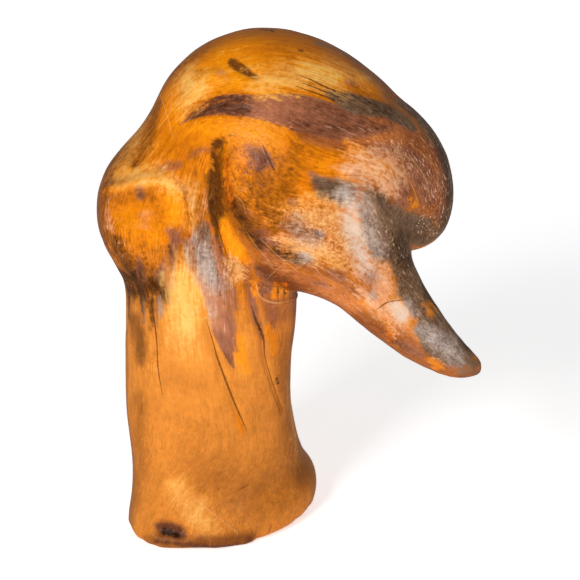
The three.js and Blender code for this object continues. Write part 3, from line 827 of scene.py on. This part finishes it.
flecked.lay(
    (1.3, (400, 150, 22), (425, 162, 30), (440, 195, 30), (430, 225, 26)),
    (0.3, (335, 125, 16), (370, 130, 22), (400, 140, 20)),
    (0.5, (378, 215, 20), (394, 240, 24), (404, 275, 20), (416, 305, 18)),
    (0.5, (200, 235, 14), (206, 260, 18), (214, 300, 20), (222, 325, 14)),
    (0.28, (310, 285, 16), (350, 300, 18), (390, 330, 18), (430, 362, 14)),
    (0.4, (105, 185, 16), (108, 215, 16), (120, 250, 18)))
flecked.lay(
    (0.5, (96, 206, 14), (110, 182, 16), (104, 158, 14)),
    (0.4, (70, 142, 12), (100, 112, 12)), side="back")
flecked.lay(
    (0.35, (2, 212, 16), (14, 188, 20), (10, 164, 16)), side="right")
# Painted shade: the wood is coloured darker where it turns side-on to the front and back.
FLANK_SHADE_LOW, FLANK_SHADE_HIGH = 0.12, 0.75
for wash in (tone, fibrous, speckled, flecked):
    put(wash.name, np.clip(wash.amount, 0, 1))
put("flank", 1 - eased(np.abs(normals[:, 1]), FLANK_SHADE_LOW, FLANK_SHADE_HIGH))
put("grain", grain)
put("grain_way", grain_way)


# Cracks and scratches. Both are thinner than the mesh's cells, so each is kept as a distance
# to its side and a nearness, which the finish cuts to a line of any width.
class Hairs:
    """Thin lines on the wood. Their marks may leave out the half width, in pixels or mm."""

    REACH = 3.2
    HALF = 0.22

    def __init__(self, name):
        self.name = name
        self.beside, self.close = np.zeros(len(points)), np.zeros(len(points))

    def draw(self, *strokes, side="photo"):
        for marks in strokes:
            line = Stroke([(*mark, self.HALF)[:3] for mark in marks], side)
            which, away, nearest = line.near(self.REACH * MM)
            close = np.clip(1 - away / (self.REACH * MM), 0, 1)
            across = np.cross(line.along[nearest], line.normal[nearest])
            beside = ((points[which] - line.at[nearest]) * across).sum(1)
            nearer = close > self.close[which]
            self.close[which[nearer]] = close[nearer]
            self.beside[which[nearer]] = (beside / line.width[nearest])[nearer]


crack = Hairs("crack")
crack.draw(
    ((207, 322, 0.2), (213, 342, 0.4), (217, 356, 0.7), (226, 381, 0.8), (239, 413, 0.6),
     (246, 428, 0.2)),
    ((152, 305, 0.5), (155, 325, 0.7), (157, 345, 0.6), (158, 367, 0.5), (162, 392, 0.2)),
    ((252, 308, 0.4), (256, 320, 1.0), (263, 336, 0.9), (265, 356, 0.3), (271, 378, 0.3),
     (282, 410, 0.2)), ((303, 76.5, 0.3), (312, 80, 0.6), (322, 85, 0.8), (333, 90, 1.0)),
    ((299, 87, 0.3), (310, 91, 0.5), (322, 95, 0.8), (332, 99, 1.0)),
    ((379, 308, 0.3), (386, 303, 0.6), (401, 300, 0.3)),
    ((264, 148, 0.3), (268, 157, 0.7), (273, 167, 0.4)),
    ((216, 220, 0.8), (220, 235, 0.6), (227, 256, 0.4)),
    ((236, 216, 0.2), (243, 227, 0.4), (259, 242, 0.4), (276, 253, 0.2)),
    ((277, 283, 0.2), (278, 291, 0.7), (278, 299, 0.2)))
crack.draw(
    ((-14, 102, 0.1), (-13, 84, 0.25), (-10, 62, 0.25), (-8, 44, 0.1)), side="back")
crack.draw(
    ((-4, 108, 0.1), (-6, 90, 0.25), (-5, 62, 0.1)), side="left")
split_line = Hairs("split_line")
split_line.draw(
    ((306, 84, 0.3), (315, 87.5, 0.6), (326, 92, 0.8), (336, 96, 1.0)),
    ((284, 284, 0.2), (284.5, 292, 0.6), (284, 300, 0.2)))
split_line.draw(
    ((18, 120, 0.1), (17, 98, 0.3), (19, 72, 0.25), (18, 50, 0.1)), side="back")
split_line.draw(
    ((14, 92, 0.1), (13, 74, 0.2), (14, 56, 0.1)), side="left")
split_line.draw(
    ((6, 96, 0.1), (7, 76, 0.25), (5, 54, 0.1)), side="right")
scratch = Hairs("scratch")
scratch.draw(
    ((234, 181), (240, 190), (249, 187)), ((266, 263), (278, 270), (296, 269), (310, 259)),
    ((314, 266), (320, 274), (332, 281), (352, 290)), ((322, 292), (345, 306), (365, 319)),
    ((256, 284, 0.3), (259, 295, 0.6), (267, 301, 0.8), (279, 303, 0.6), (292, 300, 0.4)),
    ((396, 152, 0.4), (412, 160, 0.5), (424, 176, 0.5), (430, 198, 0.4)),
    ((244, 228, 0.2), (256, 246, 0.3), (272, 264, 0.2)),
    ((160, 94, 0.3), (166, 112, 0.4), (172, 134, 0.3)),
    ((198, 80, 0.3), (203, 86, 0.4), (200, 96, 0.3)),
    ((196, 500, 0.3), (214, 514, 0.3), (236, 532, 0.3)))
scratch_over = Hairs("scratch_over")
scratch_over.draw(
    ((236, 196), (243, 203), (245, 211)),
    ((270, 276), (286, 263), (302, 262), (322, 268), (340, 280)),
    ((404, 176, 0.4), (412, 186, 0.5), (418, 202, 0.4)),
    ((418, 150, 0.4), (434, 166, 0.5), (440, 190, 0.4)),
    ((262, 240, 0.2), (276, 254, 0.3), (296, 270, 0.2)),
    ((172, 96, 0.3), (170, 112, 0.4), (160, 126, 0.3)),
    ((113, 168, 0.3), (120, 160, 0.3), (127, 156, 0.3)),
    ((340, 150, 0.3), (358, 158, 0.4), (382, 160, 0.3)))
for hairs in (crack, split_line, scratch, scratch_over):
    put(hairs.name + "_beside", hairs.beside)
    put(hairs.name + "_close", hairs.close)

# Drying splits, over the whole root. They are short and open along the grain as the wood
# dries. Lines are scattered over its surface, and the wood is sunk by its nearness to them.
SPLITS_PER_M2 = 420
SPLIT_LENGTH, SPLIT_HALF_WIDTH, SPLIT_DEPTH = 0.009, 0.0015, 0.0004
SPLIT_SEED = 7


class Shade:
    """A socket of a node tree. A sum on it adds its Math nodes, so that 1 - stain works."""

    def __init__(self, socket):
        self.socket = socket

    @staticmethod
    def node(tree, kind, settings=(), values=(), out=0):
        """Adds a node, its settings first, then the values or links of its sockets."""
        made = tree.nodes.new(kind)
        for key, value in dict(settings).items():
            if key == "stops":
                ramp = made.color_ramp.elements
                while len(ramp) < len(value):
                    ramp.new(1)
                for stop, (place, colour) in zip(ramp, value):
                    stop.position, stop.color = place, colour
            else:
                setattr(made, key, value)
        for key, value in dict(values).items():
            sockets = [s for s in made.inputs if key in (s.identifier, s.name) and s.enabled]
            socket = made.inputs[key] if isinstance(key, int) else sockets[0]
            if isinstance(value, Shade):
                tree.links.new(value.socket, socket)
            else:
                socket.default_value = value
        return Shade(made.outputs[out]) if len(made.outputs) else None

    def maths(self, operation, *terms, clamp=False):
        return self.node(self.socket.id_data, "ShaderNodeMath",
                         {"operation": operation, "use_clamp": clamp},
                         dict(enumerate((self, *terms))))

    def __add__(self, other):
        return self.maths("ADD", other)

    def __sub__(self, other):
        return self.maths("SUBTRACT", other)

    def __rsub__(self, other):
        return (self * -1) + other

    def __mul__(self, other):
        return self.maths("MULTIPLY", other)

    def __truediv__(self, other):
        return self.maths("DIVIDE", other)

    def __abs__(self):
        return self.maths("ABSOLUTE")

    def clamped(self):
        return self.maths("MULTIPLY", 1, clamp=True)

    __radd__ = __add__


def split_wood(piece, finish):
    """Runs a Geometry Nodes tree that opens the drying splits, and takes its result."""
    tree = bpy.data.node_groups.new("drying_splits", "GeometryNodeTree")
    face = tree.interface
    face.new_socket("Geometry", in_out="OUTPUT", socket_type="NodeSocketGeometry")
    face.new_socket("Geometry", in_out="INPUT", socket_type="NodeSocketGeometry")
    chosen = {"Splits per area": SPLITS_PER_M2, "Length": SPLIT_LENGTH,
              "Half width": SPLIT_HALF_WIDTH, "Depth": SPLIT_DEPTH, "Seed": SPLIT_SEED}
    sockets = {name: face.new_socket(
        name, in_out="INPUT",
        socket_type="NodeSocketInt" if name == "Seed" else "NodeSocketFloat") for name in chosen}
    given = tree.nodes.new("NodeGroupInput")
    inlet = {s.name: Shade(s) for s in given.outputs if s.name}

    def node(kind, settings=(), values=(), out=0):
        return Shade.node(tree, kind, settings, values, out)

    scattered = node("GeometryNodeDistributePointsOnFaces", {},
                     {"Mesh": inlet["Geometry"], "Density": inlet["Splits per area"],
                      "Seed": inlet["Seed"]})
    way = node("GeometryNodeInputNamedAttribute", {"data_type": "FLOAT_VECTOR"},
               {"Name": "grain_way"})
    turned = node("FunctionNodeAlignRotationToVector", {"axis": "X"}, {"Vector": way})
    length = node("FunctionNodeRandomValue", {"data_type": "FLOAT"},
                  {"Min": inlet["Length"] * 0.5, "Max": inlet["Length"] * 1.6,
                   "Seed": inlet["Seed"]}, out=1)
    fibre = node("GeometryNodeCurvePrimitiveLine", {}, {"Start": (-0.5, 0, 0), "End": (0.5, 0, 0)})
    laid = node("GeometryNodeInstanceOnPoints", {},
                {"Points": scattered, "Instance": fibre, "Rotation": turned, "Scale": length})
    lines = node("GeometryNodeCurveToMesh", {}, {"Curve": node("GeometryNodeRealizeInstances", {},
                                                              {"Geometry": laid})})
    away = node("GeometryNodeProximity", {"target_element": "EDGES"}, {"Geometry": lines}, out=1)
    open_share = (1 - away / inlet["Half width"]).clamped()
    marked = node("GeometryNodeStoreNamedAttribute", {"data_type": "FLOAT", "domain": "POINT"},
                  {"Geometry": inlet["Geometry"], "Name": "split", "Value": open_share})
    inward = node("ShaderNodeVectorMath", {"operation": "SCALE"},
                  {0: node("GeometryNodeInputNormal"), "Scale": open_share * inlet["Depth"] * -1})
    sunk = node("GeometryNodeSetPosition", {}, {"Geometry": marked, "Offset": inward})
    whole = node("GeometryNodeRealizeInstances", {}, {"Geometry": sunk})
    coated = node("GeometryNodeSetMaterial", {}, {"Geometry": whole, "Material": finish})
    tree.links.new(coated.socket, tree.nodes.new("NodeGroupOutput").inputs[0])
    modifier = piece.modifiers.new("drying_splits", "NODES")
    modifier.node_group = tree
    for name, value in chosen.items():
        modifier[sockets[name].identifier] = value
    settle(piece)
    bpy.data.node_groups.remove(tree)


# The finish: oil and clear varnish over hand-sanded wood. The clean wood runs from brown to
# gold above and to peach below, and each stain has its own dark and bright colour.
def tint(red, green, blue):
    """A colour given as the screen shows it, 0 to 255, as light values."""
    return tuple(((c / 255 + 0.055) / 1.055)**2.4 if c > 10 else c / 255 / 12.92
                 for c in (red, green, blue)) + (1.0,)


oiled = bpy.data.materials.new("oiled_root_wood")
oiled.use_nodes = True
shades = oiled.node_tree
shades.nodes.clear()


def node(kind, settings=(), values=(), out=0):
    return Shade.node(shades, kind, settings, values, out)


def marked(name):
    """A number kept on the mesh."""
    return node("ShaderNodeAttribute", {"attribute_name": name}, out=2)


def mixed(first, second, share):
    """A blend of two colours."""
    return node("ShaderNodeMix", {"data_type": "RGBA"},
                {"Factor_Float": share, "A_Color": first, "B_Color": second}, out=2)


def banded(value, low, high):
    """0 below low, 1 above high, smooth between."""
    return node("ShaderNodeMapRange", {"interpolation_type": "SMOOTHSTEP"},
                {"Value": value, "From Min": low, "From Max": high})


NOISE_SPREAD = 3.2
STREAK_ROUGHNESS = 0.55
UPPER_LOW, UPPER_HIGH, UPPER_WANDER = 0.105, 0.155, 0.012
HAIR_EDGE, HAIR_REACH = (1.5, 0.7), (0.45, 0.6)
BUMP_STRENGTH, BUMP_HEIGHT = 0.6, 0.0005
OIL_INDEX, OIL_SHEEN, OIL_ROUGHNESS = 1.5, 0.09, 0.22
COAT_SHARE, COAT_ROUGHNESS = 0.5, 0.22

fibres = node("ShaderNodeAttribute", {"attribute_name": "grain"}, out=1)
place = node("ShaderNodeTexCoord", {}, out=3)


def noisy(places, scale, detail, rough):
    """Noise that is spread to about -1 to 1."""
    made = node("ShaderNodeTexNoise", {}, {"Vector": places, "Scale": scale, "Detail": detail,
                                           "Roughness": rough})
    return (made - 0.5) * NOISE_SPREAD


def streaks(length, width, detail, seed=0.0):
    """Noise drawn out along the fibres, about -1 to 1, from its marks' size in mm."""
    drawn = node("ShaderNodeVectorMath", {"operation": "MULTIPLY_ADD"},
                 {0: fibres, 1: (1 / length, 1 / width, 1 / width), 2: (seed, seed, seed)})
    return noisy(drawn, 1.0, detail, STREAK_ROUGHNESS)


def cloud(size, detail=3.0, rough=0.6):
    """Even noise, about -1 to 1, with patches of that size in mm."""
    return noisy(place, 1 / (size * MM), detail, rough)


broad = streaks(38, 6, 3)
middling = streaks(16, 2.2, 3, 4.0)
fine = streaks(7, 0.7, 3, 9.0)
patches = cloud(16)
blotches = cloud(5.5, 4.0, 0.65)
mottle = cloud(2.2, 4.0, 0.7)
speckle = cloud(1.2, 3.0, 0.7)
shows, scuffed, flecked = marked("fibrous"), marked("speckled"), marked("flecked")
height_up = node("ShaderNodeSeparateXYZ", {}, {0: place}, out=2)
upper = banded(height_up + patches * UPPER_WANDER, UPPER_LOW, UPPER_HIGH)
busy = (upper * 0.6 + shows * 0.7 + 0.55) * (1 + patches * 0.6)
ragged = ((middling * 0.9 + broad * 0.4 + fine * 0.4) * (1 - scuffed * 0.75)
          + mottle * (scuffed * 0.5 + 0.6) + blotches * scuffed * 0.7)
# The lightness follows the tone wash, with its painted shade and highlights, and noise.
light = (marked("tone") + broad * 0.07 + patches * 0.07 + blotches * 0.08
         + (middling * 0.08 + fine * 0.15 + mottle * 0.13) * busy * (1 - scuffed * 0.5)
         + (speckle * 0.45 + mottle * 0.12) * scuffed)
ember = node("ShaderNodeValToRGB", {"stops": [
    (0.0, tint(70, 36, 4)), (0.28, tint(152, 82, 10)), (0.52, tint(214, 118, 8)),
    (0.8, tint(247, 146, 6)), (1.0, tint(255, 196, 84))]}, {"Fac": light})
caramel = node("ShaderNodeValToRGB", {"stops": [
    (0.0, tint(112, 66, 24)), (0.3, tint(180, 106, 38)), (0.55, tint(224, 136, 50)),
    (0.8, tint(244, 160, 66)), (1.0, tint(254, 200, 116))]}, {"Fac": light})
wood = mixed(caramel, ember, upper)
tawny = banded(cloud(11) + middling * 0.4, 0.1, 0.9)
wood = mixed(wood, tint(206, 98, 18), tawny * upper * 0.3)
# Painted shade: olive-brown where the wood turns side-on to the front and back.
wood = mixed(wood, tint(124, 78, 34), banded(marked("flank") + ragged * 0.2, 0.25, 1.35) * 0.7)

# Each stain's dark and bright colours, the softness of its edge, its strength, and how far its
# edge strays along the fibres. It is laid over the ones before, as light as the tone there, so the
# tone's painted shade and highlights darken and brighten it too.
STAIN_LOOKS = {
    "rust": ((108, 52, 24), (214, 126, 70), 0.6, 0.9, 0.7),
    "umber": ((66, 34, 20), (188, 116, 82), 0.2, 0.97, 0.13),
    "plum": ((92, 50, 34), (200, 128, 92), 0.5, 0.9, 0.8),
    "coal": ((52, 36, 22), (160, 126, 98), 0.5, 0.94, 0.7),
    "soot": ((40, 18, 2), (118, 66, 20), 0.4, 0.96, 0.6),
    "gold": ((206, 94, 4), (255, 160, 14), 0.6, 0.85, 1.0),
    "pale": ((190, 104, 52), (255, 202, 156), 0.8, 0.84, 1.0),
    "straw": ((206, 124, 36), (255, 200, 110), 1.0, 0.7, 1.0),
    "bloom": ((108, 88, 78), (216, 196, 184), 1.0, 0.78, 0.6),
}
for name, (deep, bright, feather, strength, straying) in STAIN_LOOKS.items():
    shade = mixed(tint(*deep), tint(*bright), banded(light, 0.1, 1.0))
    share = banded(marked(name) + ragged * straying, -feather, feather)
    wood = mixed(wood, shade, share * strength)


def hair(name, waver):
    """The share of a thin line: inside its width and close to it."""
    side = banded(abs(marked(name + "_beside")) + waver, *HAIR_EDGE)
    return side * banded(marked(name + "_close"), *HAIR_REACH)


dark_hair = hair("crack", mottle * 0.4) + hair("split_line", mottle * 0.4)
pale_hair = hair("scratch", mottle * 0.5) + hair("scratch_over", mottle * 0.5)
threads = fine * 0.6 + middling * 0.8
dark_threads = banded(threads + patches * 0.4, 0.5, 1.1) * (shows + upper * 0.2)
pale_threads = banded(threads * -1 + mottle * 0.3, 0.6, 1.3) * shows
wood = mixed(wood, tint(112, 60, 26), dark_threads * 0.65)
wood = mixed(wood, tint(252, 194, 104), pale_threads * 0.4)
dashes = banded(streaks(7.5, 0.95, 1.0, 31.0) + blotches * 0.4, 0.42, 0.66)
wood = mixed(wood, tint(250, 202, 168), dashes * flecked * 0.85)
wood = mixed(wood, tint(64, 34, 14), dark_hair.clamped() * 0.7)
wood = mixed(wood, tint(248, 196, 130), pale_hair.clamped() * 0.33)
wood = mixed(wood, tint(70, 38, 18), banded(marked("split"), 0.35, 0.9) * 0.5)
specks = banded(cloud(1.3, 2.0, 0.5) + patches * 0.25 + scuffed * 0.25, 1.05, 1.3)
wood = mixed(wood, tint(80, 44, 20), specks * 0.6)

height = (fine * 0.5 + middling * 0.6) * (shows * 0.8 + 0.3) + mottle * 0.1 - dark_hair * 1.5
bump = node("ShaderNodeBump", {}, {"Strength": BUMP_STRENGTH, "Distance": BUMP_HEIGHT,
                                   "Height": height})
rough = OIL_ROUGHNESS + fine * 0.05 + mottle * 0.06 + patches * 0.04
shader = node("ShaderNodeBsdfPrincipled", {}, {
    "Base Color": wood, "Roughness": rough, "Normal": bump, "IOR": OIL_INDEX,
    "Specular IOR Level": OIL_SHEEN, "Coat Roughness": COAT_ROUGHNESS,
    "Coat Weight": banded(marked("bloom"), -0.6, 1.0) * COAT_SHARE})
node("ShaderNodeOutputMaterial", {}, {"Surface": shader})

split_wood(root_wood, oiled)
root_wood.data.materials.clear()
root_wood.data.materials.append(oiled)
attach(root_wood, "root")
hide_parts("driftwood_duck")

# The studio: a plain pale table that runs back without an edge in view, and soft lights.
FLOOR_SIDE = 8.0
FLOOR_GREY, FLOOR_ROUGHNESS, FLOOR_GLOW = 0.90, 0.8, 0.58
SKY_GLOW = 0.16
floor_mesh = bpy.data.meshes.new("floor")
half = FLOOR_SIDE / 2
floor_mesh.from_pydata([(-half, -half, 0), (half, -half, 0), (half, half, 0), (-half, half, 0)],
                       [], [(0, 1, 2, 3)])
floor = bpy.data.objects.new("floor", floor_mesh)
bpy.context.collection.objects.link(floor)
pale_floor = bpy.data.materials.new("pale_floor")
pale_floor.use_nodes = True
paint = pale_floor.node_tree.nodes["Principled BSDF"]
paint.inputs["Base Color"].default_value = (*[FLOOR_GREY] * 3, 1)
paint.inputs["Roughness"].default_value = FLOOR_ROUGHNESS
paint.inputs["Specular IOR Level"].default_value = 0.0
paint.inputs["Emission Color"].default_value = (1, 1, 1, 1)
paint.inputs["Emission Strength"].default_value = FLOOR_GLOW
floor_mesh.materials.append(pale_floor)
floor.visible_glossy = False


def lamp(name, place, wide, high, power):
    """A soft light that looks at the middle of the root."""
    light = bpy.data.lights.new(name, "AREA")
    light.shape, light.size, light.size_y, light.energy = "RECTANGLE", wide, high, power
    made = bpy.data.objects.new(name, light)
    made.location = place
    made.rotation_euler = (LOOK_AT - Vector(place)).to_track_quat("-Z", "Y").to_euler()
    bpy.context.collection.objects.link(made)
    return made


lamp("key_light", (-0.62, -1.06, 0.80), 0.36, 0.36, 12)
lamp("window_light", (0.72, -0.95, 0.36), 0.12, 0.66, 2.6)
lamp("back_light", (0.4, 1.5, 0.9), 1.6, 1.6, 8).visible_glossy = False
world = bpy.data.worlds.new("studio")
world.use_nodes = True
world.node_tree.nodes["Background"].inputs["Color"].default_value = (1, 1, 1, 1)
world.node_tree.nodes["Background"].inputs["Strength"].default_value = SKY_GLOW
bpy.context.scene.world = world
